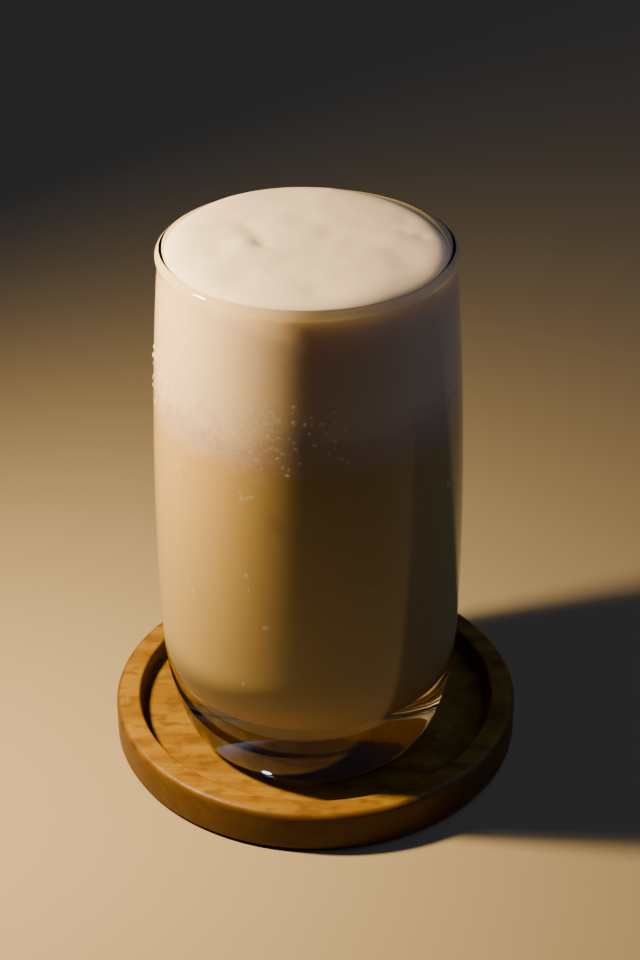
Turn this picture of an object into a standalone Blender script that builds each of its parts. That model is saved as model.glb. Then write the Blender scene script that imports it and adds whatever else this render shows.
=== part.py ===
"""Iced latte: a barrel-shaped glass tumbler with a heavy base, milk coffee in it under a thick
head of milk foam, standing in the recess of a round turned wooden coaster.

Metres, +Z up. The origin is the middle of the coaster's underside, and the camera side of
the drink is -Y. Every piece is turned on a vertical axis and keeps a small gap to its neighbours.
"""
import math

import bpy
from mathutils import Vector

MM = 0.001
SEGMENTS = 48
GAP = 0.3 * MM

# The coaster: a turned wooden disc with a flat recess inside a raised rim.
COASTER_R = 50.0 * MM
COASTER_H = 11.0 * MM
RECESS_R = 44.0 * MM
RECESS_DEPTH = 4.5 * MM
RIM_ROUND = 3.0 * MM
RIM_INNER_ROUND = 0.8 * MM
RECESS_FILLET = 1.5 * MM
UNDER_ROUND = 2.0 * MM

# The glass stands a little off the coaster's middle, towards the front.
GLASS_AXIS = Vector((-1.2 * MM, -5.3 * MM, 0.0))
FOOT_Z = COASTER_H - RECESS_DEPTH + GAP
GLASS_H = 127.5 * MM
RIM_Z = FOOT_Z + GLASS_H
WALL = 2.0 * MM

# Outer form: a barrel whose belly lies below half height, drawn in to the foot and the rim.
BELLY_R = 36.1 * MM
BELLY_Z = FOOT_Z + 51.2 * MM
HEEL_R = 34.2 * MM
FOOT_R = 26.4 * MM
HEEL_ROUND_H = 29.4 * MM
NECK_R = 32.8 * MM
PUNT_R = 22.0 * MM
PUNT_RISE = 0.8 * MM

# The fire-polished bead at the rim stands slightly proud of the wall.
BEAD_R = 1.2 * MM
BEAD_PROUD = 0.45 * MM
BEAD_H = 2.4 * MM
NECK_Z = RIM_Z - BEAD_H
BEAD_MID_R = NECK_R + BEAD_PROUD - BEAD_R
BEAD_MID_Z = RIM_Z - BEAD_R

# Inner form: a deep bowl over the heavy base.
BASE_THICKNESS = 15.2 * MM
BOWL_FLOOR_Z = FOOT_Z + BASE_THICKNESS
BOWL_W = 20.0 * MM
BOWL_H = 18.0 * MM

# The drink: coffee up to the foam line, then foam that crowns over the rim.
FOAM_LINE_Z = 104.0 * MM
FOAM_EDGE_Z = RIM_Z - 0.95 * MM
FOAM_CROWN = 2.9 * MM
CROWN_POWER = 6
# The head rises towards the back and sinks towards the right.
FOAM_RISE_BACK = 0.55 * MM
FOAM_SINK_RIGHT = 1.0 * MM
FOAM_SINK_SIDES = 0.4 * MM


def clear_scene():
    for obj in list(bpy.data.objects):
        bpy.data.objects.remove(obj, do_unlink=True)


def principled(name, colour, roughness, alpha=1.0, transmission=0.0):
    """One plain material; colour is linear RGB."""
    material = bpy.data.materials.new(name)
    material.use_nodes = True
    shader = material.node_tree.nodes["Principled BSDF"]
    shader.inputs["Base Color"].default_value = (*colour, 1.0)
    shader.inputs["Roughness"].default_value = roughness
    shader.inputs["Metallic"].default_value = 0.0
    shader.inputs["Alpha"].default_value = alpha
    shader.inputs["Transmission Weight"].default_value = transmission
    return material


def arc(centre_r, centre_z, radius, start_deg, end_deg, steps):
    """Points (r, z) on a circle in the profile plane, both ends included."""
    points = []
    for i in range(steps + 1):
        angle = math.radians(start_deg + (end_deg - start_deg) * i / steps)
        points.append((centre_r + radius * math.cos(angle), centre_z + radius * math.sin(angle)))
    return points


def spread(start, end, steps):
    """Evenly spaced values from start to end, both included."""
    return [start + (end - start) * i / steps for i in range(steps + 1)]


def body_radius(z):
    """Outer radius of the barrel, before the heel is rounded in to the foot."""
    if z > BELLY_Z:
        share = (z - BELLY_Z) / (NECK_Z - BELLY_Z)
        return BELLY_R - (BELLY_R - NECK_R) * share ** 2
    share = (BELLY_Z - z) / (BELLY_Z - FOOT_Z)
    return BELLY_R - (BELLY_R - HEEL_R) * share ** 2


def bowl(floor_z, inset, steps):
    """The bowl over the base, from its flat floor out and up to the wall."""
    points = []
    height = BOWL_H - (floor_z - BOWL_FLOOR_Z)
    for i in range(steps + 1):
        turn = 0.5 * math.pi * i / steps
        z = floor_z + height * (1.0 - math.cos(turn))
        points.append((body_radius(z) - WALL - inset - BOWL_W * (1.0 - math.sin(turn)), z))
    return points


def heel(steps):
    """The rounded heel, from the wall down and in to the foot."""
    points = []
    for i in range(steps + 1):
        turn = 0.5 * math.pi * (1.0 - i / steps)
        z = FOOT_Z + HEEL_ROUND_H * (1.0 - math.cos(turn))
        points.append((body_radius(z) - (HEEL_R - FOOT_R) * (1.0 - math.sin(turn)), z))
    return points


def turned(name, profile, collection, axis, material):
    """A solid of revolution from a profile that runs down its outer side."""
    mesh = bpy.data.meshes.new(name)
    edges = [(i, i + 1) for i in range(len(profile) - 1)]
    mesh.from_pydata([(r, 0.0, z) for r, z in profile], edges, [])
    obj = bpy.data.objects.new(name, mesh)
    collection.objects.link(obj)
    obj.location = axis
    screw = obj.modifiers.new("Turn", "SCREW")
    screw.axis = "Z"
    screw.steps = SEGMENTS
    screw.render_steps = SEGMENTS
    screw.use_merge_vertices = True
    screw.merge_threshold = 0.00001
    screw.use_smooth_shade = True
    mesh.materials.append(material)
    return obj


def coaster_profile():
    floor_z = COASTER_H - RECESS_DEPTH
    fillet_r = RECESS_R - RECESS_FILLET
    lip_r = RECESS_R + RIM_INNER_ROUND
    points = [(0.0, floor_z), (0.5 * fillet_r, floor_z)]
    points += arc(fillet_r, floor_z + RECESS_FILLET, RECESS_FILLET, -90, 0, 3)
    points += arc(lip_r, COASTER_H - RIM_INNER_ROUND, RIM_INNER_ROUND, 180, 90, 2)
    points += arc(COASTER_R - RIM_ROUND, COASTER_H - RIM_ROUND, RIM_ROUND, 90, 0, 4)
    points += arc(COASTER_R - UNDER_ROUND, UNDER_ROUND, UNDER_ROUND, 0, -90, 3)
    points += [(0.5 * COASTER_R, 0.0), (0.0, 0.0)]
    return points


def glass_profile():
    points = [(0.0, BOWL_FLOOR_Z)]
    points += bowl(BOWL_FLOOR_Z, 0.0, 8)
    inner_top = [z for z in spread(BOWL_FLOOR_Z + BOWL_H, NECK_Z, 6)][1:]
    points += [(body_radius(z) - WALL, z) for z in inner_top]
    points += arc(BEAD_MID_R, BEAD_MID_Z, BEAD_R, 180, -30, 6)
    outer = spread(NECK_Z, FOOT_Z + HEEL_ROUND_H, 6)[:-1]
    points += [(body_radius(z), z) for z in outer]
    points += heel(7)
    for r in spread(PUNT_R, 0.0, 2):
        points.append((r, FOOT_Z + PUNT_RISE * (1.0 - (r / PUNT_R) ** 2)))
    return points


def latte_profile():
    top_z = FOAM_LINE_Z - 0.5 * GAP
    points = [(0.0, top_z)]
    for z in spread(top_z, BOWL_FLOOR_Z + BOWL_H, 5)[:-1]:
        points.append((body_radius(z) - WALL - GAP, z))
    points += reversed(bowl(BOWL_FLOOR_Z + GAP, GAP, 8))
    points.append((0.0, BOWL_FLOOR_Z + GAP))
    return points


def foam_profile():
    edge_r = BEAD_MID_R - BEAD_R - GAP
    points = []
    for share in (0.0, 0.35, 0.6, 0.78, 0.89, 0.95, 0.985, 1.0):
        crown = FOAM_CROWN * math.sqrt(1.0 - share ** CROWN_POWER)
        points.append((edge_r * share, FOAM_EDGE_Z + crown))
    bottom_z = FOAM_LINE_Z + 0.5 * GAP
    for z in spread(NECK_Z - 2.0 * BEAD_H, bottom_z, 3):
        points.append((body_radius(z) - WALL - GAP, z))
    points.append((0.0, bottom_z))
    return points


def tilt_head(foam):
    """Raises the top of the turned foam towards the back and sinks it towards the right."""
    graph = bpy.context.evaluated_depsgraph_get()
    mesh = bpy.data.meshes.new_from_object(foam.evaluated_get(graph))
    edge_r = BEAD_MID_R - BEAD_R - GAP
    for vertex in mesh.vertices:
        if vertex.co.z < FOAM_EDGE_Z - 0.1 * MM:
            continue
        x = vertex.co.x / edge_r
        y = vertex.co.y / edge_r
        vertex.co.z += FOAM_RISE_BACK * y - FOAM_SINK_RIGHT * x - FOAM_SINK_SIDES * (x * x - y * y)
    foam.modifiers.clear()
    foam.data = mesh


clear_scene()
iced_latte = bpy.data.collections.new("iced_latte")
bpy.context.scene.collection.children.link(iced_latte)

wood = principled("oiled_wood", (0.50, 0.24, 0.055), 0.45)
clear_glass = principled("clear_glass", (0.96, 0.98, 0.98), 0.03, alpha=0.3, transmission=1.0)
milk_coffee = principled("milk_coffee", (0.52, 0.33, 0.17), 0.25)
milk_foam = principled("milk_foam", (0.80, 0.70, 0.58), 0.6)

turned("coaster", coaster_profile(), iced_latte, Vector((0.0, 0.0, 0.0)), wood)
turned("glass", glass_profile(), iced_latte, GLASS_AXIS, clear_glass)
turned("latte", latte_profile(), iced_latte, GLASS_AXIS, milk_coffee)
head = turned("foam", foam_profile(), iced_latte, GLASS_AXIS, milk_foam)
bpy.context.view_layer.update()
tilt_head(head)
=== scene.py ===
"""Iced latte: milk coffee under a thick head of milk foam in a barrel-shaped tumbler with a heavy
base, standing in the recess of a round wooden coaster. The sections follow the drink as it is put
together: coaster, glass, coffee, foam, condensation, then the floor, light and camera.
"""
import math
import bmesh
import bpy
from mathutils import Matrix, Vector, noise


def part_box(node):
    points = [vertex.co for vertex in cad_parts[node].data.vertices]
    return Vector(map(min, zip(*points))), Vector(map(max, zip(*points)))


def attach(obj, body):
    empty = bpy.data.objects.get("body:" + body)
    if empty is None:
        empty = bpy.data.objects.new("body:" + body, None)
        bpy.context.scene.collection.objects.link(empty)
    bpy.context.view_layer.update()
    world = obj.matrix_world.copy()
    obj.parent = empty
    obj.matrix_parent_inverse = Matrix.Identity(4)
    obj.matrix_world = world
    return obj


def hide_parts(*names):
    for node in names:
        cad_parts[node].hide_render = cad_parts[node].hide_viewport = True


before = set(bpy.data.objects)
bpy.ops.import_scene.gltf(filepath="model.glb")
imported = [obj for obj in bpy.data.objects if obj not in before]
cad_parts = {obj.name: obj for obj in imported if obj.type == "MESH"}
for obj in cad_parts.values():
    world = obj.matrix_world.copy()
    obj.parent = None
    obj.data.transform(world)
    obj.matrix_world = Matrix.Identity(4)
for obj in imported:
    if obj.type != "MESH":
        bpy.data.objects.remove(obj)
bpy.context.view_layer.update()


# The coaster: one disc of honey-coloured hardwood, turned with a flat recess inside a raised,
# rounded rim, sanded fine and oiled to a satin finish. It lies loose on the table.
MM = 0.001
IN_MM = (1.0 / MM, 1.0 / MM, 1.0 / MM)  # scales a pattern's metres to millimetres
coaster_low, coaster_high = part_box("coaster")
COASTER_R = coaster_high[0]
COASTER_H = coaster_high[2]
COASTER_SEGMENTS = 256
RECESS_R = 44.0 * MM
RECESS_DEPTH = 4.5 * MM
RIM_ROUND = 1.6 * MM
RIM_INNER_ROUND = 0.8 * MM
RECESS_FILLET = 1.5 * MM
UNDER_ROUND = 2.0 * MM
WELD = 0.005 * MM
PIN_R = 1.0 * MM
GRAIN_TURN = (0.0, 0.0, math.radians(4.0))
GRAIN_SPACING_MM = 3.2
GRAIN_SWAY_MM = 26.0
PITH_BELOW_MM = 46.0
SWAY_WIDTH_MM = 16.67
FIBRE_WIDTH_MM = 0.45  # real fibres are finer; this is as fine as the picture shows
FIGURE_SPOT_MM = 3.6
SIDE_SHADE_WIDTH_MM = 1.6
# Along X, the way of the grain, a pattern runs at this share of its pace across the grain.
SWAY_ALONG = 0.12
FIBRE_ALONG = 0.05
FIGURE_ALONG = 0.6
# How far the fibres, the figure and the turned side go over to their darker colour; the side's darker
# colour is partly end grain that takes more oil and partly painted shade.
FIBRE_DEPTH = 0.45
FIGURE_DEPTH = 0.55
SIDE_SHADE_DEPTH = 0.75
WOOD_ROUGH_LOW = 0.38
WOOD_ROUGH_HIGH = 0.54
WOOD_PALE = "#927022"
WOOD_HONEY = "#825d14"
WOOD_DARK = "#5a390c"
# The turned side's colour: end grain that takes more oil, darkened further as painted shade.
WOOD_SIDE_SHADE = "#4a2c0b"


def linear(colour):
    """An sRGB hex colour as linear RGBA."""
    parts = [int(colour[i:i + 2], 16) / 255.0 for i in (1, 3, 5)]
    return tuple(c / 12.92 if c <= 0.04045 else ((c + 0.055) / 1.055) ** 2.4 for c in parts) + (1.0,)


def add_node(tree, kind, inputs=None, **settings):
    """One node with its settings; inputs maps a socket, by its name or number, to its value or to
    the output that feeds it."""
    made = tree.nodes.new(kind)
    for name, value in settings.items():
        setattr(made, name, value)
    for key, value in (inputs or {}).items():
        if isinstance(value, bpy.types.NodeSocket):
            tree.links.new(value, made.inputs[key])
        else:
            made.inputs[key].default_value = value
    return made


def new_material(name):
    """An empty node material: the material, its tree and its output node."""
    made = bpy.data.materials.new(name)
    made.use_nodes = True
    made.node_tree.nodes.clear()
    return made, made.node_tree, add_node(made.node_tree, "ShaderNodeOutputMaterial")


def arc(centre_r, centre_z, radius, start_deg, end_deg, steps):
    """Points (r, z) on a circle in the outline's plane, both ends included."""
    points = []
    for i in range(steps + 1):
        angle = math.radians(start_deg + (end_deg - start_deg) * i / steps)
        points.append((centre_r + radius * math.cos(angle), centre_z + radius * math.sin(angle)))
    return points


def spread(start, end, steps):
    """Evenly spaced values from start to end, both included."""
    return [start + (end - start) * i / steps for i in range(steps + 1)]


def new_tree(name, inputs, result):
    """An empty Geometry Nodes tree with its named inputs and one result: the tree and the inputs."""
    tree = bpy.data.node_groups.new(name, "GeometryNodeTree")
    for label, kind in inputs:
        tree.interface.new_socket(label, in_out="INPUT", socket_type="NodeSocket" + kind)
    tree.interface.new_socket(result, in_out="OUTPUT", socket_type="NodeSocketGeometry")
    return tree, add_node(tree, "NodeGroupInput").outputs


def build_lathe():
    """The Geometry Nodes tree that turns an outline, drawn as x = radius and y = height, round +Z.
    The outline is moved in by the radius of a thin pin and swept round it, and its ends weld shut."""
    tree, given = new_tree("turned_on_lathe", (
        ("Outline", "Geometry"),
        ("Segments", "Int"),
        ("Pin radius", "Float"),
        ("Weld", "Float"),
        ("Surface", "Material"),
    ), "Turned piece")
    inward = add_node(tree, "ShaderNodeMath", {0: given["Pin radius"], 1: -1.0}, operation="MULTIPLY")
    shift = add_node(tree, "ShaderNodeCombineXYZ", {"X": inward.outputs[0]})
    wire = add_node(tree, "GeometryNodeMeshToCurve", {"Mesh": given["Outline"]})
    upright = add_node(tree, "GeometryNodeTransform", {
        "Geometry": wire.outputs[0], "Translation": shift.outputs[0], "Scale": (1.0, -1.0, 1.0)})
    pin = add_node(tree, "GeometryNodeCurvePrimitiveCircle", {
        "Resolution": given["Segments"], "Radius": given["Pin radius"]})
    skin = add_node(tree, "GeometryNodeCurveToMesh", {
        "Curve": pin.outputs[0], "Profile Curve": upright.outputs[0]})
    welded = add_node(tree, "GeometryNodeMergeByDistance", {
        "Geometry": skin.outputs[0], "Distance": given["Weld"]})
    smooth = add_node(tree, "GeometryNodeSetShadeSmooth", {"Geometry": welded.outputs[0]})
    real = add_node(tree, "GeometryNodeRealizeInstances", {"Geometry": smooth.outputs[0]})
    finished = add_node(tree, "GeometryNodeSetMaterial", {
        "Geometry": real.outputs[0], "Material": given["Surface"]})
    add_node(tree, "NodeGroupOutput", {0: finished.outputs[0]})
    return tree


lathe = build_lathe()


def placed(name, data):
    """A new object with its data, put into the scene."""
    made = bpy.data.objects.new(name, data)
    bpy.context.scene.collection.objects.link(made)
    return made


def made_by(tree, name, mesh, values, centre):
    """Runs a Geometry Nodes tree on mesh and keeps the result as a plain mesh moved to centre."""
    piece = placed(name, mesh)
    modifier = piece.modifiers.new(tree.name, "NODES")
    modifier.node_group = tree
    for item in tree.interface.items_tree:
        if item.in_out == "INPUT" and item.name in values:
            modifier[item.identifier] = values[item.name]
    graph = bpy.context.evaluated_depsgraph_get()
    result = bpy.data.meshes.new_from_object(piece.evaluated_get(graph))
    piece.modifiers.clear()
    result.transform(Matrix.Translation(centre))
    result.name = name
    piece.data = result
    return piece


def face_outwards(mesh):
    """Turns every face of a closed mesh outwards."""
    shape = bmesh.new()
    shape.from_mesh(mesh)
    bmesh.ops.recalc_face_normals(shape, faces=shape.faces)
    shape.to_mesh(mesh)
    shape.free()


def turned(name, outline, centre, segments, surface):
    """A closed solid of revolution, from an outline of (radius, height) points."""
    mesh = bpy.data.meshes.new(name)
    edges = [(i, i + 1) for i in range(len(outline) - 1)]
    mesh.from_pydata([(r, z, 0.0) for r, z in outline], edges, [])
    piece = made_by(lathe, name, mesh, {
        "Segments": segments, "Pin radius": PIN_R, "Weld": WELD, "Surface": surface}, centre)
    face_outwards(piece.data)
    return piece


def coaster_outline():
    """From the middle of the recess out, up over the rim, and down and in under the disc."""
    floor_z = COASTER_H - RECESS_DEPTH
    fillet_r = RECESS_R - RECESS_FILLET
    lip_r = RECESS_R + RIM_INNER_ROUND
    points = [(r, floor_z) for r in spread(0.0, fillet_r, 6)[:-1]]
    points += arc(fillet_r, floor_z + RECESS_FILLET, RECESS_FILLET, -90, 0, 8)
    points += arc(lip_r, COASTER_H - RIM_INNER_ROUND, RIM_INNER_ROUND, 180, 90, 6)
    points += arc(COASTER_R - RIM_ROUND, COASTER_H - RIM_ROUND, RIM_ROUND, 90, 0, 12)
    points += arc(COASTER_R - UNDER_ROUND, UNDER_ROUND, UNDER_ROUND, 0, -90, 8)
    points += [(r, 0.0) for r in spread(COASTER_R - UNDER_ROUND, 0.0, 4)[1:]]
    return points


def oiled_hardwood():
    """Oiled, flat-sawn hardwood: soft growth rings along X, short darker figure, and fine fibres
    that break up a satin gloss. The turned side is darker: partly because it cuts the fibres across
    and drinks more oil, partly as painted shade for the upright side, which the light only grazes."""
    material, tree, output = new_material("oiled_hardwood")
    place = add_node(tree, "ShaderNodeTexCoord").outputs["Object"]
    in_mm = add_node(tree, "ShaderNodeMapping", {"Vector": place, "Scale": IN_MM}).outputs[0]
    along = add_node(tree, "ShaderNodeMapping", {
        "Vector": in_mm, "Rotation": GRAIN_TURN, "Scale": (SWAY_ALONG, 1.0, 1.0)})
    sway = add_node(tree, "ShaderNodeTexNoise", {
        "Vector": along.outputs[0], "Scale": 1.0 / SWAY_WIDTH_MM, "Detail": 3.0})
    parts = add_node(tree, "ShaderNodeSeparateXYZ", {"Vector": in_mm})
    below = add_node(tree, "ShaderNodeMath", {0: parts.outputs["Z"], 1: PITH_BELOW_MM}, operation="ADD")
    across = add_node(tree, "ShaderNodeMath", {
        0: sway.outputs["Fac"], 1: GRAIN_SWAY_MM, 2: -0.5 * GRAIN_SWAY_MM}, operation="MULTIPLY_ADD")
    shifted = add_node(tree, "ShaderNodeMath", {
        0: parts.outputs["Y"], 1: across.outputs[0]}, operation="ADD")
    radial = add_node(tree, "ShaderNodeCombineXYZ", {"X": shifted.outputs[0], "Y": below.outputs[0]})
    ring_r = add_node(tree, "ShaderNodeVectorMath", {0: radial.outputs[0]}, operation="LENGTH")
    ring_turn = add_node(tree, "ShaderNodeMath", {
        0: ring_r.outputs["Value"], 1: 2.0 * math.pi / GRAIN_SPACING_MM}, operation="MULTIPLY")
    ring_wave = add_node(tree, "ShaderNodeMath", {0: ring_turn.outputs[0]}, operation="SINE")
    ring = add_node(tree, "ShaderNodeMapRange", {
        "Value": ring_wave.outputs[0], "From Min": -0.9, "From Max": 1.3},
        interpolation_type="SMOOTHSTEP")
    fibre_place = add_node(tree, "ShaderNodeMapping", {
        "Vector": in_mm, "Rotation": GRAIN_TURN, "Scale": (FIBRE_ALONG, 1.0, 1.0)})
    fibre = add_node(tree, "ShaderNodeTexNoise", {
        "Vector": fibre_place.outputs[0], "Scale": 1.0 / FIBRE_WIDTH_MM, "Detail": 4.0,
        "Roughness": 0.6})
    figure_place = add_node(tree, "ShaderNodeMapping", {
        "Vector": in_mm, "Scale": (FIGURE_ALONG, 1.0, 1.0)})
    figure = add_node(tree, "ShaderNodeTexNoise", {
        "Vector": figure_place.outputs[0], "Scale": 1.0 / FIGURE_SPOT_MM, "Detail": 2.5,
        "Roughness": 0.55})
    spots = add_node(tree, "ShaderNodeMapRange", {
        "Value": figure.outputs["Fac"], "From Min": 0.46, "From Max": 0.66},
        interpolation_type="SMOOTHSTEP")
    grained = add_node(tree, "ShaderNodeMix", {
        0: ring.outputs[0], 6: linear(WOOD_PALE), 7: linear(WOOD_HONEY)}, data_type="RGBA")
    spot_share = add_node(tree, "ShaderNodeMath", {
        0: spots.outputs[0], 1: FIGURE_DEPTH}, operation="MULTIPLY")
    figured = add_node(tree, "ShaderNodeMix", {
        0: spot_share.outputs[0], 6: grained.outputs[2], 7: linear(WOOD_DARK)}, data_type="RGBA")
    streak = add_node(tree, "ShaderNodeMapRange", {
        "Value": fibre.outputs["Fac"], "From Min": 0.5, "From Max": 0.75, "To Max": FIBRE_DEPTH})
    fibred = add_node(tree, "ShaderNodeMix", {
        0: streak.outputs[0], 6: figured.outputs[2], 7: linear(WOOD_DARK)}, data_type="RGBA")
    plan = add_node(tree, "ShaderNodeCombineXYZ", {"X": parts.outputs["X"], "Y": parts.outputs["Y"]})
    from_middle = add_node(tree, "ShaderNodeVectorMath", {0: plan.outputs[0]}, operation="LENGTH")
    # The band at the outer edge goes over to the side colour: partly end grain, partly painted shade.
    side = add_node(tree, "ShaderNodeMapRange", {
        "Value": from_middle.outputs["Value"], "From Min": COASTER_R / MM - SIDE_SHADE_WIDTH_MM,
        "From Max": COASTER_R / MM, "To Max": SIDE_SHADE_DEPTH}, interpolation_type="SMOOTHSTEP")
    oiled = add_node(tree, "ShaderNodeMix", {
        0: side.outputs[0], 6: fibred.outputs[2], 7: linear(WOOD_SIDE_SHADE)}, data_type="RGBA")
    gloss = add_node(tree, "ShaderNodeMapRange", {
        "Value": fibre.outputs["Fac"], "From Min": 0.3, "From Max": 0.7, "To Min": WOOD_ROUGH_LOW,
        "To Max": WOOD_ROUGH_HIGH})
    relief = add_node(tree, "ShaderNodeBump", {
        "Height": fibre.outputs["Fac"], "Strength": 0.25, "Distance": 0.05 * MM})
    wood = add_node(tree, "ShaderNodeBsdfPrincipled", {
        "Base Color": oiled.outputs[2], "Roughness": gloss.outputs[0], "Normal": relief.outputs[0],
        "IOR": 1.45, "Specular IOR Level": 0.3})
    tree.links.new(wood.outputs[0], output.inputs["Surface"])
    return material


coaster = turned(
    "turned_coaster", coaster_outline(), (0.0, 0.0, 0.0), COASTER_SEGMENTS, oiled_hardwood())
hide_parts("coaster")
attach(coaster, "root")


# The tumbler: pressed clear soda-lime glass, a barrel with a wall of 2 mm over a solid base, its rim
# fire-polished to a small bead. It stands loose in the coaster's recess, a little off its middle.
glass_low, glass_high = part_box("glass")
GLASS_AXIS = Vector((
    0.5 * (glass_low[0] + glass_high[0]), 0.5 * (glass_low[1] + glass_high[1]), 0.0))
FOOT_Z = glass_low[2]
RIM_Z = glass_high[2]
GLASS_SEGMENTS = 288
WALL = 2.0 * MM
BELLY_R = 0.5 * (glass_high[0] - glass_low[0])
BELLY_Z = FOOT_Z + 51.2 * MM
HEEL_R = 34.2 * MM
FOOT_R = 26.4 * MM
HEEL_ROUND_H = 29.4 * MM
NECK_R = 32.8 * MM
PUNT_R = 22.0 * MM
PUNT_RISE = 0.8 * MM
BEAD_R = 1.2 * MM
BEAD_PROUD = 0.45 * MM
NECK_Z = RIM_Z - 2.0 * BEAD_R
BEAD_MID_R = NECK_R + BEAD_PROUD - BEAD_R
BEAD_MID_Z = RIM_Z - BEAD_R
BOWL_FLOOR_Z = FOOT_Z + 15.2 * MM
BOWL_W = 20.0 * MM
BOWL_H = 18.0 * MM
RIPPLE_MM = 9.0
RIPPLE_STRETCH = 2.0
BEAD_FADE = 1.5 * MM
# The base's grey tint is painted shade for the shadowed wood seen through it: strongest up to the
# first height below, and gone from THICK_TO_Z up. Light that comes from outside stops below THICK_TO_Z
# and passes above THIN_FROM_Z.
BASE_SHADE_TO_Z = FOOT_Z + 6.0 * MM
THICK_TO_Z = BOWL_FLOOR_Z + 11.0 * MM
THIN_FROM_Z = BOWL_FLOOR_Z + 19.0 * MM
GRAZING_POWER = 3.0
GLASS_CLEAR = "#fbfdfc"
# The grey of the thick base is painted shade for the shadowed wood seen through it.
GLASS_BASE_SHADE = "#c9cbd0"


def body_radius(z):
    """Outer radius of the barrel at height z, before the heel is rounded in to the foot."""
    if z > BELLY_Z:
        share = (z - BELLY_Z) / (NECK_Z - BELLY_Z)
        return BELLY_R - (BELLY_R - NECK_R) * share ** 2
    share = (BELLY_Z - z) / (BELLY_Z - FOOT_Z)
    return BELLY_R - (BELLY_R - HEEL_R) * share ** 2


def bowl(bite, steps):
    """The bowl over the base, from its floor out and up to the wall; bite moves it into the glass."""
    points = []
    for i in range(steps + 1):
        turn = 0.5 * math.pi * i / steps
        z = BOWL_FLOOR_Z - bite + (BOWL_H + bite) * (1.0 - math.cos(turn))
        points.append((body_radius(z) - WALL + bite - BOWL_W * (1.0 - math.sin(turn)), z))
    return points


def heel(steps):
    """The rounded heel, from the wall down and in to the foot."""
    points = []
    for i in range(steps + 1):
        turn = 0.5 * math.pi * (1.0 - i / steps)
        z = FOOT_Z + HEEL_ROUND_H * (1.0 - math.cos(turn))
        points.append((body_radius(z) - (HEEL_R - FOOT_R) * (1.0 - math.sin(turn)), z))
    return points


def glass_outline():
    """From the middle of the bowl's floor out and up inside, over the bead, and down to the foot."""
    bowl_side = bowl(0.0, 32)
    points = [(r, BOWL_FLOOR_Z) for r in spread(0.0, bowl_side[0][0], 6)[:-1]]
    points += bowl_side
    points += [(body_radius(z) - WALL, z) for z in spread(BOWL_FLOOR_Z + BOWL_H, NECK_Z, 40)[1:]]
    points += arc(BEAD_MID_R, BEAD_MID_Z, BEAD_R, 180, -30, 24)
    points += [(body_radius(z), z) for z in spread(NECK_Z, FOOT_Z + HEEL_ROUND_H, 48)[:-1]]
    points += heel(36)
    for r in spread(PUNT_R, 0.0, 12):
        points.append((r, FOOT_Z + PUNT_RISE * (1.0 - (r / PUNT_R) ** 2)))
    return points


def lets_light_through(tree, shader, passed, output):
    """Joins a clear shader to the output so that light reaches what stands behind it without noise;
    passed is the colour, or the socket, of the light that gets through."""
    path = add_node(tree, "ShaderNodeLightPath")
    open_way = add_node(tree, "ShaderNodeBsdfTransparent", {"Color": passed})
    lighting = add_node(tree, "ShaderNodeMath", {
        0: path.outputs["Is Shadow Ray"], 1: path.outputs["Is Diffuse Ray"]}, operation="MAXIMUM")
    joined = add_node(tree, "ShaderNodeMixShader", {
        0: lighting.outputs[0], 1: shader.outputs[0], 2: open_way.outputs[0]})
    tree.links.new(joined.outputs[0], output.inputs["Surface"])


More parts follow.
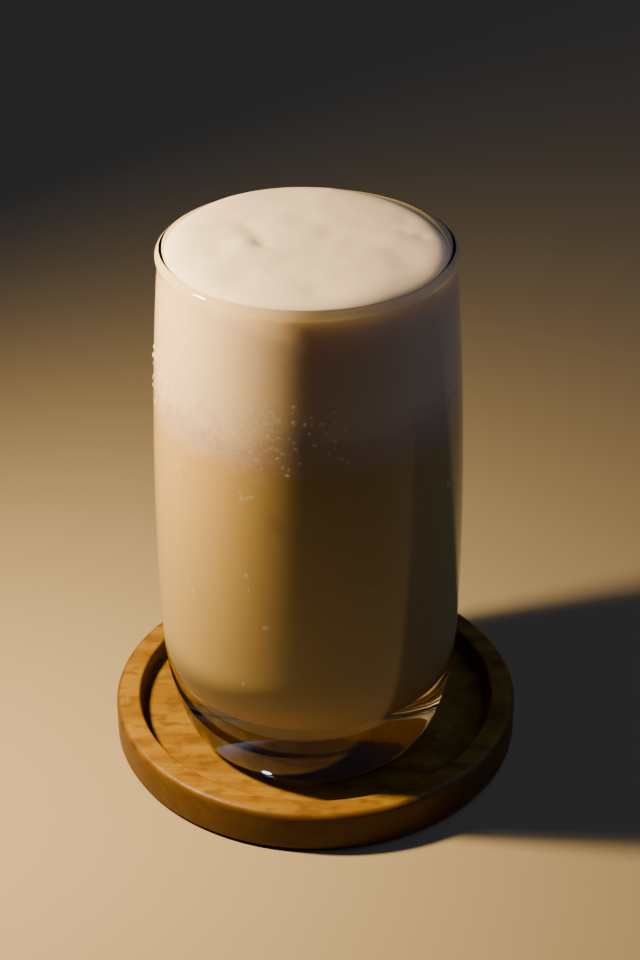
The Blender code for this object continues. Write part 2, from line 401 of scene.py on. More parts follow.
def pressed_glass():
    """Clear soda-lime glass, IOR 1.52, fire-polished: mirror smooth, with the faint slow ripple that
    a press leaves, which makes its highlights waver. Its thick base is tinted a shade greyer, as
    painted shade for the shadowed wood seen through it. Below the bead it turns light away that
    meets it at a low angle, and the base bends a lamp's light off the wood behind it, so its shadow
    is dark."""
    material, tree, output = new_material("pressed_soda_lime_glass")
    place = add_node(tree, "ShaderNodeTexCoord").outputs["Object"]
    ripple_place = add_node(tree, "ShaderNodeMapping", {
        "Vector": place, "Scale": (1.0 / MM, 1.0 / MM, 1.0 / (RIPPLE_STRETCH * MM))})
    ripple = add_node(tree, "ShaderNodeTexNoise", {
        "Vector": ripple_place.outputs[0], "Scale": 1.0 / RIPPLE_MM, "Detail": 1.0})
    relief = add_node(tree, "ShaderNodeBump", {
        "Height": ripple.outputs["Fac"], "Strength": 0.35, "Distance": 0.25 * MM})
    height = add_node(tree, "ShaderNodeSeparateXYZ", {"Vector": place})
    # Painted shade: the base is greyed most at the foot and is clear from THICK_TO_Z up.
    less_base_shade = add_node(tree, "ShaderNodeMapRange", {
        "Value": height.outputs["Z"], "From Min": BASE_SHADE_TO_Z, "From Max": THICK_TO_Z})
    body = add_node(tree, "ShaderNodeMix", {
        0: less_base_shade.outputs[0], 6: linear(GLASS_BASE_SHADE), 7: linear(GLASS_CLEAR)}, data_type="RGBA")
    clear = add_node(tree, "ShaderNodeBsdfPrincipled", {
        "Base Color": body.outputs[2], "Roughness": 0.0, "IOR": 1.52, "Transmission Weight": 1.0,
        "Normal": relief.outputs[0]})
    above_base = add_node(tree, "ShaderNodeMapRange", {
        "Value": height.outputs["Z"], "From Min": THICK_TO_Z, "From Max": THIN_FROM_Z},
        interpolation_type="SMOOTHSTEP")
    from_inside = add_node(tree, "ShaderNodeNewGeometry").outputs["Backfacing"]
    entry = add_node(tree, "ShaderNodeMath", {
        0: above_base.outputs[0], 1: from_inside}, operation="MAXIMUM")
    slant = add_node(tree, "ShaderNodeLayerWeight", {"Blend": 0.5})
    low_angle = add_node(tree, "ShaderNodeMath", {
        0: slant.outputs["Facing"], 1: GRAZING_POWER}, operation="POWER")
    below_bead = add_node(tree, "ShaderNodeMapRange", {
        "Value": height.outputs["Z"], "From Min": NECK_Z - BEAD_FADE, "From Max": NECK_Z,
        "To Min": 1.0, "To Max": 0.0})
    turned_away = add_node(tree, "ShaderNodeMath", {
        0: low_angle.outputs[0], 1: below_bead.outputs[0]}, operation="MULTIPLY")
    kept = add_node(tree, "ShaderNodeMath", {0: 1.0, 1: turned_away.outputs[0]}, operation="SUBTRACT")
    share = add_node(tree, "ShaderNodeMath", {
        0: entry.outputs[0], 1: kept.outputs[0]}, operation="MULTIPLY")
    passed = add_node(tree, "ShaderNodeCombineColor", {
        0: share.outputs[0], 1: share.outputs[0], 2: share.outputs[0]})
    lets_light_through(tree, clear, passed.outputs[0], output)
    return material


tumbler = turned("pressed_tumbler", glass_outline(), GLASS_AXIS, GLASS_SEGMENTS, pressed_glass())
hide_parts("glass")
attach(tumbler, "root")


# The milk coffee: coffee stirred into cold milk, opaque and tan, poured into the tumbler up to the
# foam. Its sides reach a hair into the wall, so that no air shows between drink and glass.
FOAM_LINE_Z = 104.0 * MM
BITE = 0.25 * MM
SHARP_EDGE_DEG = 40.0
COFFEE_DEEP = "#b29c67"
COFFEE_TAN = "#caae72"
MIXED_MAUVE = "#d6bba6"
FOAM_CREAM = "#f2dabc"
DEEP_LOW_Z = 34.0 * MM
DEEP_HIGH_Z = 92.0 * MM
MIXED_LOW_Z = 93.0 * MM
MIXED_HIGH_Z = 109.0 * MM
CLOUD_MM = 14.0
CLOUD_FLATTEN = 1.8
CLOUD_HEIGHT = 8.0 * MM
DRINK_IOR = 1.34
SOAK_SHARE = 0.8
SOAK_DEPTH = 8.0 * MM
SEAM_DRY = 0.5 * MM
SEAM_SOAK = 5.0 * MM
COFFEE_SOAK = (1.0, 0.8, 0.45)


def drink_colour(tree, place):
    """The colour of coffee and foam by height: the coffee is darker towards the bottom, and where
    coffee and foam meet, the tan fades through a greyish mauve into cream, along a slightly cloudy
    line."""
    cloud_place = add_node(tree, "ShaderNodeMapping", {
        "Vector": place, "Scale": (1.0 / MM, 1.0 / MM, CLOUD_FLATTEN / MM)})
    cloud = add_node(tree, "ShaderNodeTexNoise", {
        "Vector": cloud_place.outputs[0], "Scale": 1.0 / CLOUD_MM, "Detail": 3.0, "Roughness": 0.5})
    height = add_node(tree, "ShaderNodeSeparateXYZ", {"Vector": place})
    uneven = add_node(tree, "ShaderNodeMath", {
        0: cloud.outputs["Fac"], 1: CLOUD_HEIGHT, 2: height.outputs["Z"]}, operation="MULTIPLY_ADD")
    low_z = MIXED_LOW_Z + 0.5 * CLOUD_HEIGHT
    high_z = MIXED_HIGH_Z + 0.5 * CLOUD_HEIGHT
    middle_z = 0.5 * (low_z + high_z)
    lower = add_node(tree, "ShaderNodeMapRange", {
        "Value": uneven.outputs[0], "From Min": low_z, "From Max": middle_z},
        interpolation_type="SMOOTHSTEP")
    upper = add_node(tree, "ShaderNodeMapRange", {
        "Value": uneven.outputs[0], "From Min": middle_z, "From Max": high_z},
        interpolation_type="SMOOTHSTEP")
    paler_upwards = add_node(tree, "ShaderNodeMapRange", {
        "Value": height.outputs["Z"], "From Min": DEEP_LOW_Z, "From Max": DEEP_HIGH_Z})
    brew = add_node(tree, "ShaderNodeMix", {
        0: paler_upwards.outputs[0], 6: linear(COFFEE_DEEP), 7: linear(COFFEE_TAN)}, data_type="RGBA")
    mixed = add_node(tree, "ShaderNodeMix", {
        0: lower.outputs[0], 6: brew.outputs[2], 7: linear(MIXED_MAUVE)}, data_type="RGBA")
    blended = add_node(tree, "ShaderNodeMix", {
        0: upper.outputs[0], 6: mixed.outputs[2], 7: linear(FOAM_CREAM)}, data_type="RGBA")
    return blended.outputs[2]


def soak(tree, place):
    """How much light soaks in: the same all over, but none at the line where coffee and foam touch,
    because light that crosses from one to the other would be lost there and leave a dark ring."""
    height = add_node(tree, "ShaderNodeSeparateXYZ", {"Vector": place})
    apart = add_node(tree, "ShaderNodeMath", {
        0: height.outputs["Z"], 1: FOAM_LINE_Z}, operation="SUBTRACT")
    away = add_node(tree, "ShaderNodeMath", {0: apart.outputs[0]}, operation="ABSOLUTE")
    share = add_node(tree, "ShaderNodeMapRange", {
        "Value": away.outputs[0], "From Min": SEAM_DRY, "From Max": SEAM_SOAK, "To Max": SOAK_SHARE},
        interpolation_type="SMOOTHSTEP")
    return share.outputs[0]


def milk_coffee():
    """Milk coffee seen through glass: matt and opaque, tan above and a deeper brown below, with
    light soaking a few millimetres in."""
    material, tree, output = new_material("milk_coffee")
    place = add_node(tree, "ShaderNodeTexCoord").outputs["Object"]
    drink = add_node(tree, "ShaderNodeBsdfPrincipled", {
        "Base Color": drink_colour(tree, place), "Roughness": 0.6, "IOR": DRINK_IOR,
        "Specular IOR Level": 0.1, "Subsurface Weight": soak(tree, place),
        "Subsurface Radius": COFFEE_SOAK, "Subsurface Scale": SOAK_DEPTH})
    tree.links.new(drink.outputs[0], output.inputs["Surface"])
    return material


def drink_radius(z):
    """Radius of coffee or foam at height z, a hair into the wall."""
    return body_radius(z) - WALL + BITE


def coffee_outline():
    """From the middle of the foam line out, down along the wall and the bowl, and in."""
    bowl_side = bowl(BITE, 24)
    wall_heights = spread(FOAM_LINE_Z, BOWL_FLOOR_Z + BOWL_H, 40)[:-1]
    points = [(r, FOAM_LINE_Z) for r in spread(0.0, drink_radius(FOAM_LINE_Z), 8)[:-1]]
    points += [(drink_radius(z), z) for z in wall_heights]
    points += reversed(bowl_side)
    points += [(r, bowl_side[0][1]) for r in spread(bowl_side[0][0], 0.0, 5)[1:]]
    return points


coffee = turned("milk_coffee", coffee_outline(), GLASS_AXIS, GLASS_SEGMENTS, milk_coffee())
coffee.data.set_sharp_from_angle(angle=math.radians(SHARP_EDGE_DEG))
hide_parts("latte")
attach(coffee, "root")


# The head of milk foam: dense fine-pored cream, poured until it crowns over the rim. It clings to
# the inside of the bead, stands higher at the back and left, and sags in soft dimples.
FOAM_EDGE_Z = RIM_Z - 0.95 * MM
FOAM_CROWN = 2.7 * MM
CROWN_POWER = 6
FOAM_RISE_BACK = 0.5 * MM
FOAM_SINK_RIGHT = 0.6 * MM
FOAM_SINK_SIDES = 0.3 * MM
FOAM_LAP = 0.993  # share of the bead's radius, up from its middle, that the foam may climb
FOAM_SIDE_TOP_Z = NECK_Z - 2.4 * MM
# The crown is whiter partly because less coffee seeps into it and partly as painted light for the top,
# which catches more light than the sides.
CROWN_WHITE_LIT = "#f7e8da"
CROWN_FROM_Z = RIM_Z - 1.5 * MM
CROWN_TO_Z = RIM_Z + 0.3 * MM
DRIFT_PALE = "#efdfcd"
DRIFT_DEPTH = 0.35
DRIFT_MM = 11.11
PORE_MM = 0.4
FOAM_SOAK = (0.75, 1.0, 0.85)
FOAM_SEGMENTS = 320
FOAM_RINGS = 90
RINGS_CROWD_OUT = 1.6  # above 1, the rings of the mesh lie closer towards the edge
RELIEF_FADE = 10  # the higher, the nearer to the edge the swells and dimples reach
FOAM_BITE = 0.06 * MM
# Height and width of the broad swells and of the fine ones on them, and where in the noise they start.
FOAM_SWELLS = (
    (0.6 * MM, 15.0 * MM, 0.7),
    (0.15 * MM, 4.84 * MM, 4.2),
)
# x, y and radius in millimetres from the glass's middle, and the height of each rise or dimple. The
# first six make the fold that runs down to a small deep dimple.
FOAM_MARKS = (
    (-13.4, 8.4, 2.4, -0.35),
    (-11.8, 4.8, 2.0, -0.40),
    (-10.4, 1.2, 1.9, -0.40),
    (-9.6, -2.6, 1.8, -0.50),
    (-14.2, -2.8, 3.0, 0.75),
    (-16.0, 2.6, 3.0, 0.35),
    (-18.6, -6.4, 3.0, -0.50),
    (-14.0, -19.0, 4.8, -0.70),
    (4.4, 5.0, 3.4, -0.40),
    (-1.0, 10.6, 3.0, -0.35),
    (21.6, -6.6, 4.6, -0.50),
    (21.8, 5.2, 1.8, -0.35),
    (25.2, 4.0, 1.8, -0.55),
    (18.4, 1.6, 3.4, 0.45),
    (21.6, 12.0, 3.2, -0.35),
    (3.0, -24.0, 3.8, -0.40),
    (-12.0, 21.0, 9.0, -0.80),
    (-3.0, 27.0, 6.0, -0.50),
    (5.0, 27.6, 1.6, 0.35),
)


def foam_edge(azimuth):
    """Radius and height at which the foam meets the bead, in that direction from +X."""
    x = math.cos(azimuth)
    y = math.sin(azimuth)
    z = FOAM_EDGE_Z + FOAM_RISE_BACK * y - FOAM_SINK_RIGHT * x - FOAM_SINK_SIDES * (x * x - y * y)
    z = min(z, BEAD_MID_Z + FOAM_LAP * BEAD_R)
    above = max(z - BEAD_MID_Z, 0.0)
    return BEAD_MID_R - math.sqrt(BEAD_R ** 2 - above ** 2) + FOAM_BITE, z


def foam_relief(x, y):
    """Swells and dimples of the foam's top at that place from the glass's middle."""
    rise = 0.0
    for height, width, start in FOAM_SWELLS:
        rise += height * noise.noise(Vector((x / width, y / width, start)))
    for mark_x, mark_y, radius, height in FOAM_MARKS:
        apart = math.hypot(x - mark_x * MM, y - mark_y * MM) / (radius * MM)
        rise += height * MM * math.exp(-apart * apart)
    return rise


def foam_mesh():
    """The head as one closed skin: crowned top, rolled edge, side against the wall, flat underside."""
    middle_z = FOAM_EDGE_Z + FOAM_CROWN + foam_relief(0.0, 0.0)
    points = [(0.0, 0.0, middle_z)]
    azimuths = [2.0 * math.pi * i / FOAM_SEGMENTS for i in range(FOAM_SEGMENTS)]
    for ring in range(1, FOAM_RINGS + 1):
        share = 1.0 - (1.0 - ring / FOAM_RINGS) ** RINGS_CROWD_OUT
        for azimuth in azimuths:
            edge_r, edge_z = foam_edge(azimuth)
            x = share * edge_r * math.cos(azimuth)
            y = share * edge_r * math.sin(azimuth)
            fade = 1.0 - share ** RELIEF_FADE
            tilt = (edge_z - FOAM_EDGE_Z) * share
            crown = FOAM_CROWN * math.sqrt(max(0.0, 1.0 - share ** CROWN_POWER))
            points.append((x, y, FOAM_EDGE_Z + tilt + crown + fade * foam_relief(x, y)))
    for share in (0.0, 0.35, 0.7, 1.0):
        for azimuth in azimuths:
            edge_r, edge_z = foam_edge(azimuth)
            start_r = edge_r + 0.5 * BITE
            start_z = edge_z - BITE
            r = start_r + share * (drink_radius(FOAM_SIDE_TOP_Z) - start_r)
            z = start_z + share * (FOAM_SIDE_TOP_Z - start_z)
            points.append((r * math.cos(azimuth), r * math.sin(azimuth), z))
    for z in spread(FOAM_SIDE_TOP_Z, FOAM_LINE_Z, 24)[1:]:
        r = drink_radius(z)
        points += [(r * math.cos(azimuth), r * math.sin(azimuth), z) for azimuth in azimuths]
    points.append((0.0, 0.0, FOAM_LINE_Z))
    faces = [(0, 1 + i, 1 + (i + 1) % FOAM_SEGMENTS) for i in range(FOAM_SEGMENTS)]
    rings = (len(points) - 2) // FOAM_SEGMENTS
    for ring in range(rings - 1):
        inner = 1 + ring * FOAM_SEGMENTS
        outer = inner + FOAM_SEGMENTS
        for i in range(FOAM_SEGMENTS):
            j = (i + 1) % FOAM_SEGMENTS
            faces.append((inner + i, outer + i, outer + j, inner + j))
    last = 1 + (rings - 1) * FOAM_SEGMENTS
    end = len(points) - 1
    faces += [(last + i, end, last + (i + 1) % FOAM_SEGMENTS) for i in range(FOAM_SEGMENTS)]
    mesh = bpy.data.meshes.new("milk_foam_head")
    mesh.from_pydata(points, [], faces)
    mesh.transform(Matrix.Translation(GLASS_AXIS))
    face_outwards(mesh)
    mesh.shade_smooth()
    mesh.set_sharp_from_angle(angle=math.radians(SHARP_EDGE_DEG))
    return mesh


def milk_foam():
    """Dense milk foam: matt, cream coloured at the sides and whiter on the crown, partly because no
    coffee seeps in there and partly as painted light for the top. Light soaks into it, and fine
    pores dull it, drawn 0.4 mm wide so that they show."""
    material, tree, output = new_material("milk_foam")
    place = add_node(tree, "ShaderNodeTexCoord").outputs["Object"]
    in_mm = add_node(tree, "ShaderNodeMapping", {"Vector": place, "Scale": IN_MM}).outputs[0]
    pores = add_node(tree, "ShaderNodeTexNoise", {
        "Vector": in_mm, "Scale": 1.0 / PORE_MM, "Detail": 3.0, "Roughness": 0.6})
    drift = add_node(tree, "ShaderNodeTexNoise", {
        "Vector": in_mm, "Scale": 1.0 / DRIFT_MM, "Detail": 2.0})
    shade = add_node(tree, "ShaderNodeMapRange", {
        "Value": drift.outputs["Fac"], "From Min": 0.3, "From Max": 0.7, "To Max": DRIFT_DEPTH})
    tinted = add_node(tree, "ShaderNodeMix", {
        0: shade.outputs[0], 6: drink_colour(tree, place), 7: linear(DRIFT_PALE)}, data_type="RGBA")
    height = add_node(tree, "ShaderNodeSeparateXYZ", {"Vector": place})
    # Partly painted light: the crown goes over to the whiter colour.
    crown = add_node(tree, "ShaderNodeMapRange", {
        "Value": height.outputs["Z"], "From Min": CROWN_FROM_Z, "From Max": CROWN_TO_Z},
        interpolation_type="SMOOTHSTEP")
    crown_lit = add_node(tree, "ShaderNodeMix", {
        0: crown.outputs[0], 6: tinted.outputs[2], 7: linear(CROWN_WHITE_LIT)}, data_type="RGBA")
    relief = add_node(tree, "ShaderNodeBump", {
        "Height": pores.outputs["Fac"], "Strength": 0.3, "Distance": 0.08 * MM})
    foam = add_node(tree, "ShaderNodeBsdfPrincipled", {
        "Base Color": crown_lit.outputs[2], "Roughness": 0.62, "IOR": DRINK_IOR,
        "Specular IOR Level": 0.3, "Normal": relief.outputs[0], "Subsurface Weight": soak(tree, place),
        "Subsurface Radius": FOAM_SOAK, "Subsurface Scale": SOAK_DEPTH})
    tree.links.new(foam.outputs[0], output.inputs["Surface"])
    return material


head = placed("milk_foam_head", foam_mesh())
head.data.materials.append(milk_foam())
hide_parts("foam")
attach(head, "root")


# The condensation: fine beads of water in a band round the cold glass at the foam line, and a few
# drops that have grown below it and slid a little. They cling to the outside of the wall.
MIST_LOW_Z = 95.0 * MM
MIST_HIGH_Z = 117.0 * MM
MIST_SEGMENTS = 180
MIST_ROWS = 12
MIST_GAP = 1.3 * MM
MIST_PER_M2 = 1400000.0
MIST_PATCHES_PER_M = 120.0  # a patch is about 8 mm wide
MIST_SMALL_R = 0.32 * MM
MIST_LARGE_R = 0.7 * MM
MIST_FEW_LARGE = 2.2  # the higher, the fewer beads grow large
MIST_TOWARDS_DEG = -127.0
MIST_SEED = 11
WATER_CLEAR = "#ffffff"
WATER_SHADE = "#f2f2f2"
WATER_HAZE = 0.045
FILM_WAVE = 1.11 * MM
# Water on the wall is a ball, cut flat at DROP_CUT of its radius and pressed to DROP_DOME of its
# height. A grown drop is also narrower at its top, by DROP_TAPER.
DROP_DOME = 0.5
DROP_CUT = -0.24
DROP_TAPER = 0.18
DROP_SEGMENTS = 20
DROP_RINGS = 12
BALL_SEGMENTS = 9
BALL_RINGS = 5


def wall_skin(name, z_low, z_high):
    """An open band of the glass's outside, facing outwards, round the glass's own middle."""
    points = []
    for z in spread(z_low, z_high, MIST_ROWS):
        for i in range(MIST_SEGMENTS):
            azimuth = 2.0 * math.pi * i / MIST_SEGMENTS
            points.append((body_radius(z) * math.cos(azimuth), body_radius(z) * math.sin(azimuth), z))
    faces = []
    for row in range(MIST_ROWS):
        for i in range(MIST_SEGMENTS):
            j = (i + 1) % MIST_SEGMENTS
            low = row * MIST_SEGMENTS
            high = low + MIST_SEGMENTS
            faces.append((low + i, low + j, high + j, high + i))
    mesh = bpy.data.meshes.new(name)
    mesh.from_pydata(points, [], faces)
    return mesh


def build_mist():
    """The Geometry Nodes tree that settles beads of water on a skin, in patches, thickest at mid
    height and on one side, with few large ones. Each bead is a ball with its underside cut flat."""
    tree, given = new_tree("condensation_on_wall", (
        ("Skin", "Geometry"),
        ("Low", "Float"),
        ("High", "Float"),
        ("Gap", "Float"),
        ("Beads per square metre", "Float"),
        ("Patches per metre", "Float"),
        ("Small radius", "Float"),
        ("Large radius", "Float"),
        ("Few large", "Float"),
        ("Thickest towards", "Float"),
        ("Seed", "Int"),
        ("Surface", "Material"),
    ), "Beads")
    place = add_node(tree, "GeometryNodeInputPosition").outputs[0]
    on_skin = add_node(tree, "ShaderNodeSeparateXYZ", {0: place}).outputs
    level = add_node(tree, "ShaderNodeMapRange", {
        "Value": on_skin["Z"], "From Min": given["Low"], "From Max": given["High"]})
    arch = add_node(tree, "ShaderNodeMath", {0: level.outputs[0], 1: math.pi}, operation="MULTIPLY")
    swell = add_node(tree, "ShaderNodeMath", {0: arch.outputs[0]}, operation="SINE")
    patches = add_node(tree, "ShaderNodeTexNoise", {
        "Vector": place, "Scale": given["Patches per metre"], "Detail": 2.0})
    patchy = add_node(tree, "ShaderNodeMapRange", {
        "Value": patches.outputs[0], "From Min": 0.3, "From Max": 0.55, "To Min": 0.35})
    azimuth = add_node(tree, "ShaderNodeMath", {0: on_skin["Y"], 1: on_skin["X"]}, operation="ARCTAN2")
    turn = add_node(tree, "ShaderNodeMath", {
        0: azimuth.outputs[0], 1: given["Thickest towards"]}, operation="SUBTRACT")
    nearness = add_node(tree, "ShaderNodeMath", {0: turn.outputs[0]}, operation="COSINE")
    sided = add_node(tree, "ShaderNodeMapRange", {
        "Value": nearness.outputs[0], "From Min": 0.6, "From Max": 0.93, "To Min": 0.05})
    banded = add_node(tree, "ShaderNodeMath", {
        0: swell.outputs[0], 1: patchy.outputs[0]}, operation="MULTIPLY")
    thick = add_node(tree, "ShaderNodeMath", {
        0: banded.outputs[0], 1: sided.outputs[0]}, operation="MULTIPLY")
    settled = add_node(tree, "GeometryNodeDistributePointsOnFaces", {
        "Mesh": given["Skin"], "Distance Min": given["Gap"],
        "Density Max": given["Beads per square metre"], "Density Factor": thick.outputs[0],
        "Seed": given["Seed"]}, distribute_method="POISSON")
    ball = add_node(tree, "GeometryNodeMeshUVSphere", {
        "Segments": BALL_SEGMENTS, "Rings": BALL_RINGS, "Radius": 1.0})
    spot = add_node(tree, "GeometryNodeInputPosition").outputs[0]
    on_ball = add_node(tree, "ShaderNodeSeparateXYZ", {0: spot}).outputs
    flat = add_node(tree, "ShaderNodeMath", {0: on_ball["Z"], 1: DROP_CUT}, operation="MAXIMUM")
    domed = add_node(tree, "ShaderNodeMath", {0: flat.outputs[0], 1: DROP_DOME}, operation="MULTIPLY")
    bead_place = add_node(tree, "ShaderNodeCombineXYZ", {
        "X": on_ball["X"], "Y": on_ball["Y"], "Z": domed.outputs[0]})
    bead = add_node(tree, "GeometryNodeSetPosition", {
        "Geometry": ball.outputs[0], "Position": bead_place.outputs[0]})
    draw = add_node(tree, "FunctionNodeRandomValue", {"Seed": given["Seed"]}, data_type="FLOAT")
    skewed = add_node(tree, "ShaderNodeMath", {
        0: draw.outputs[1], 1: given["Few large"]}, operation="POWER")
    size = add_node(tree, "ShaderNodeMapRange", {
        "Value": skewed.outputs[0], "To Min": given["Small radius"], "To Max": given["Large radius"]})
    scattered = add_node(tree, "GeometryNodeInstanceOnPoints", {
        "Points": settled.outputs["Points"], "Instance": bead.outputs[0],
        "Rotation": settled.outputs["Rotation"], "Scale": size.outputs[0]})
    real = add_node(tree, "GeometryNodeRealizeInstances", {"Geometry": scattered.outputs[0]})
    smooth = add_node(tree, "GeometryNodeSetShadeSmooth", {"Geometry": real.outputs[0]})
    finished = add_node(tree, "GeometryNodeSetMaterial", {
        "Geometry": smooth.outputs[0], "Material": given["Surface"]})
    add_node(tree, "NodeGroupOutput", {0: finished.outputs[0]})
    return tree


def condensed_water():
    """Beads of water, IOR 1.33: mirror smooth, with a little white haze for the light that so many
    fine beads scatter, so each is a pale dot with a spark on it."""
    material, tree, output = new_material("condensed_water")
    place = add_node(tree, "ShaderNodeTexCoord").outputs["Object"]
    film = add_node(tree, "ShaderNodeTexNoise", {
        "Vector": place, "Scale": 1.0 / FILM_WAVE, "Detail": 1.0})
    relief = add_node(tree, "ShaderNodeBump", {
        "Height": film.outputs["Fac"], "Strength": 0.1, "Distance": 0.02 * MM})
    clear = add_node(tree, "ShaderNodeBsdfPrincipled", {
        "Base Color": linear(WATER_CLEAR), "Roughness": 0.0, "IOR": 1.33, "Transmission Weight": 1.0,
        "Normal": relief.outputs[0]})
    haze = add_node(tree, "ShaderNodeBsdfDiffuse", {"Color": linear(WATER_CLEAR)})
    beads = add_node(tree, "ShaderNodeMixShader", {
        0: WATER_HAZE, 1: clear.outputs[0], 2: haze.outputs[0]})
    lets_light_through(tree, beads, linear(WATER_SHADE), output)
    return material


water = condensed_water()
misted_wall = wall_skin("condensation_mist", MIST_LOW_Z, MIST_HIGH_Z)
mist = made_by(build_mist(), "condensation_mist", misted_wall, {
    "Low": MIST_LOW_Z,
    "High": MIST_HIGH_Z,
    "Gap": MIST_GAP,
    "Beads per square metre": MIST_PER_M2,
    "Patches per metre": MIST_PATCHES_PER_M,
    "Small radius": MIST_SMALL_R,
    "Large radius": MIST_LARGE_R,
    "Few large": MIST_FEW_LARGE,
    "Thickest towards": math.radians(MIST_TOWARDS_DEG),
    "Seed": MIST_SEED,
    "Surface": water,
}, GLASS_AXIS)
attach(mist, "root")

# Each drop: degrees round from the front (+ to the right), height, width and length in millimetres,
# and its lean from upright in degrees.
DROPS = (
    (-23.5, 89.4, 1.7, 2.1, 0.0),
    (-20.9, 90.1, 1.1, 3.6, -60.0),
    (-24.5, 91.0, 0.9, 2.2, 22.0),
    (-53.9, 91.0, 1.5, 1.9, 0.0),
    (-22.2, 70.0, 1.6, 2.0, 10.0),
    (-21.3, 66.6, 1.0, 1.3, 0.0),
    (-48.4, 62.2, 1.1, 2.0, 24.0),
    (-46.6, 60.2, 1.2, 1.7, -20.0),
    (-15.4, 57.0, 1.8, 1.2, 5.0),
    (-24.7, 40.0, 1.2, 1.4, 0.0),
    (22.8, 66.3, 1.2, 1.6, 0.0),
    (61.0, 84.0, 1.6, 2.2, 0.0),
    (104.0, 77.0, 1.5, 2.0, 8.0),
    (150.0, 88.0, 1.7, 2.6, -12.0),
    (-98.0, 82.0, 1.4, 1.9, 6.0),
    (-140.0, 69.0, 1.8, 2.4, 0.0),
    (188.0, 60.0, 1.3, 1.6, 0.0),
)


def grown_drops():
    """The larger drops as flattened beads of water that lie on the wall, in one mesh."""
    shape = bmesh.new()
    for turn_deg, height_mm, width_mm, length_mm, lean_deg in DROPS:
        z = height_mm * MM
        made = bmesh.ops.create_uvsphere(
            shape, u_segments=DROP_SEGMENTS, v_segments=DROP_RINGS, radius=1.0)["verts"]
        for vertex in made:
            vertex.co.z = DROP_DOME * max(vertex.co.z, DROP_CUT)
            taper = 1.0 - DROP_TAPER * vertex.co.y
            vertex.co.x *= 0.5 * width_mm * MM * taper
            vertex.co.y *= 0.5 * length_mm * MM
            vertex.co.z *= 0.5 * min(width_mm, length_mm) * MM
        azimuth = math.radians(turn_deg)
        outward = Vector((math.sin(azimuth), -math.cos(azimuth), 0.0))
        sideways = Vector((math.cos(azimuth), math.sin(azimuth), 0.0))
        stand = Matrix((sideways, Vector((0.0, 0.0, 1.0)), outward)).transposed().to_4x4()
        lean = Matrix.Rotation(math.radians(lean_deg), 4, "Z")
        spot = GLASS_AXIS + outward * body_radius(z) + Vector((0.0, 0.0, z))
        bmesh.ops.transform(shape, matrix=Matrix.Translation(spot) @ stand @ lean, verts=made)
    for face in shape.faces:
        face.smooth = True
    bmesh.ops.recalc_face_normals(shape, faces=shape.faces)
    mesh = bpy.data.meshes.new("condensation_drops")
    shape.to_mesh(mesh)
    shape.free()
    return mesh


drops = placed("condensation_drops", grown_drops())
drops.data.materials.append(water)
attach(drops, "root")


# The stage: a plain pale floor, one small warm lamp close by on the left as in the photograph, weak
# cool window light from above on the right, and the camera at the photograph's place.
FLOOR_HALF = 3.0
FLOOR_PALE = "#a6997e"
FLOOR_BOUNCE = 0.25
LAMP_PLACE = Vector((-169.1, -22.2, 220.0)) * MM
LAMP_AIM = Vector((-38.2, -43.2, 30.0)) * MM
LAMP_WIDTH = 20.0 * MM
LAMP_LENGTH = 50.0 * MM
LAMP_WATTS = 1.18
LAMP_SPREAD_DEG = 131.8
LAMP_WARM = "#ffda9c"
WINDOW_WAY = Vector((0.65, 0.05, 0.75))
WINDOW_EDGE_DEG = 44.0
WINDOW_MIDDLE_DEG = 14.0
WINDOW_GLOW = 0.55
WINDOW_COOL = "#b7c6ee"
FAR_LAMP_WAY = Vector((0.24, 0.82, 0.515))
FAR_LAMP_EDGE_DEG = 2.0
FAR_LAMP_MIDDLE_DEG = 1.2
FAR_LAMP_GLOW = 8.0
ROOM_GLOW = 0.01
CAMERA_PLACE = Vector((1.37, -398.68, 312.77)) * MM
CAMERA_DOWN_DEG = 31.187
CAMERA_ROLL_DEG = -0.254
CAMERA_LENS_MM = 73.92
CAMERA_SENSOR_MM = 36.0
CAMERA_NEAR = 10.0 * MM


def floor_surface():
    """Plain pale matt floor, which throws back only part of its light on the drink, as the dark room
    in the photograph does."""
    material, tree, output = new_material("pale_floor")
    path = add_node(tree, "ShaderNodeLightPath")
    bounce = add_node(tree, "ShaderNodeMix", {
        0: path.outputs["Diffuse Depth"], 6: linear(FLOOR_PALE),
        7: tuple(FLOOR_BOUNCE * part for part in linear(FLOOR_PALE)[:3]) + (1.0,)}, data_type="RGBA")
    plain = add_node(tree, "ShaderNodeBsdfPrincipled", {
        "Base Color": bounce.outputs[2], "Roughness": 0.75, "Specular IOR Level": 0.3})
    tree.links.new(plain.outputs[0], output.inputs["Surface"])
    return material


floor_mesh = bpy.data.meshes.new("stage_floor")
corners = [(x * FLOOR_HALF, y * FLOOR_HALF, 0.0) for x, y in ((-1, -1), (1, -1), (1, 1), (-1, 1))]
floor_mesh.from_pydata(corners, [], [(0, 1, 2, 3)])
floor_mesh.materials.append(floor_surface())
floor = placed("stage_floor", floor_mesh)

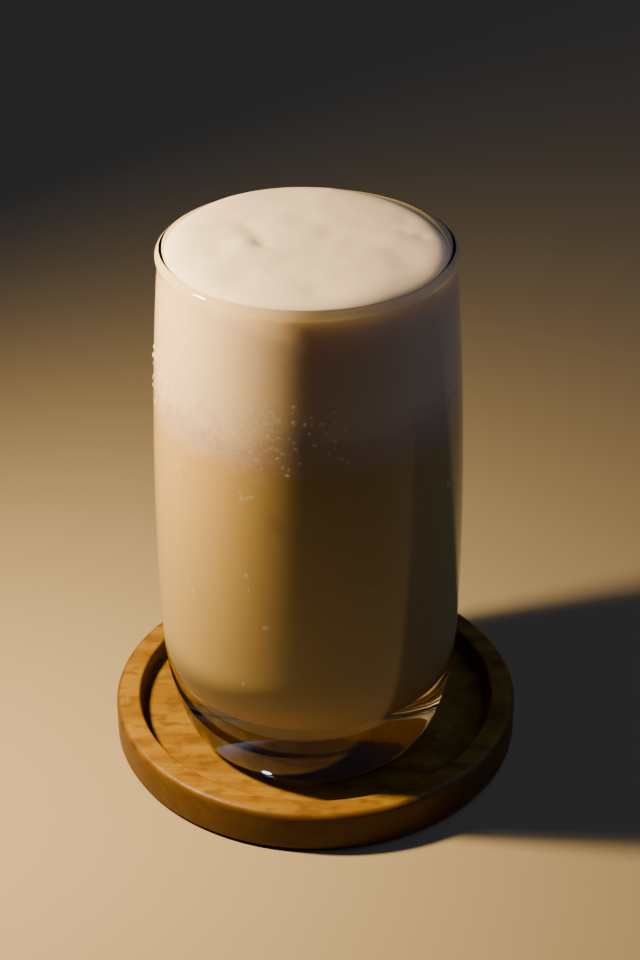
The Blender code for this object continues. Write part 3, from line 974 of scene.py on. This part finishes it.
lamp_light = bpy.data.lights.new("warm_lamp", "AREA")
lamp_light.shape = "ELLIPSE"
lamp_light.size = LAMP_WIDTH
lamp_light.size_y = LAMP_LENGTH
lamp_light.energy = LAMP_WATTS
lamp_light.spread = math.radians(LAMP_SPREAD_DEG)
lamp_light.color = linear(LAMP_WARM)[:3]
lamp = placed("warm_lamp", lamp_light)
lamp.location = LAMP_PLACE
lamp.rotation_euler = (LAMP_AIM - LAMP_PLACE).to_track_quat("-Z", "Y").to_euler()


def glow_from(tree, way, edge_deg, middle_deg, strength):
    """Light from one way in the world: full within middle_deg of it, none beyond edge_deg."""
    seen = add_node(tree, "ShaderNodeTexCoord").outputs["Generated"]
    towards = add_node(tree, "ShaderNodeVectorMath", {
        0: seen, 1: tuple(way.normalized())}, operation="DOT_PRODUCT")
    return add_node(tree, "ShaderNodeMapRange", {
        "Value": towards.outputs["Value"], "From Min": math.cos(math.radians(edge_deg)),
        "From Max": math.cos(math.radians(middle_deg)), "To Max": strength},
        interpolation_type="SMOOTHSTEP")


def window_light():
    """The air round the stage: dark, with a broad soft glow of cool light from the window's side and
    a small far lamp behind, which shows as a spark in the glass's base."""
    world = bpy.data.worlds.new("window_light")
    world.use_nodes = True
    tree = world.node_tree
    window = glow_from(tree, WINDOW_WAY, WINDOW_EDGE_DEG, WINDOW_MIDDLE_DEG, WINDOW_GLOW)
    far_lamp = glow_from(tree, FAR_LAMP_WAY, FAR_LAMP_EDGE_DEG, FAR_LAMP_MIDDLE_DEG, FAR_LAMP_GLOW)
    both = add_node(tree, "ShaderNodeMath", {
        0: window.outputs[0], 1: far_lamp.outputs[0]}, operation="ADD")
    glow = add_node(tree, "ShaderNodeMath", {0: both.outputs[0], 1: ROOM_GLOW}, operation="ADD")
    tree.nodes["Background"].inputs["Color"].default_value = linear(WINDOW_COOL)
    tree.links.new(glow.outputs[0], tree.nodes["Background"].inputs["Strength"])
    return world


bpy.context.scene.world = window_light()

camera_data = bpy.data.cameras.new("camera")
camera_data.sensor_fit = "AUTO"
camera_data.sensor_width = CAMERA_SENSOR_MM
camera_data.lens = CAMERA_LENS_MM
camera_data.clip_start = CAMERA_NEAR
camera = placed("camera", camera_data)
tilt = Matrix.Rotation(math.radians(90.0 - CAMERA_DOWN_DEG), 4, "X")
roll = Matrix.Rotation(math.radians(CAMERA_ROLL_DEG), 4, "Z")
camera.matrix_world = Matrix.Translation(CAMERA_PLACE) @ tilt @ roll
bpy.context.scene.camera = camera
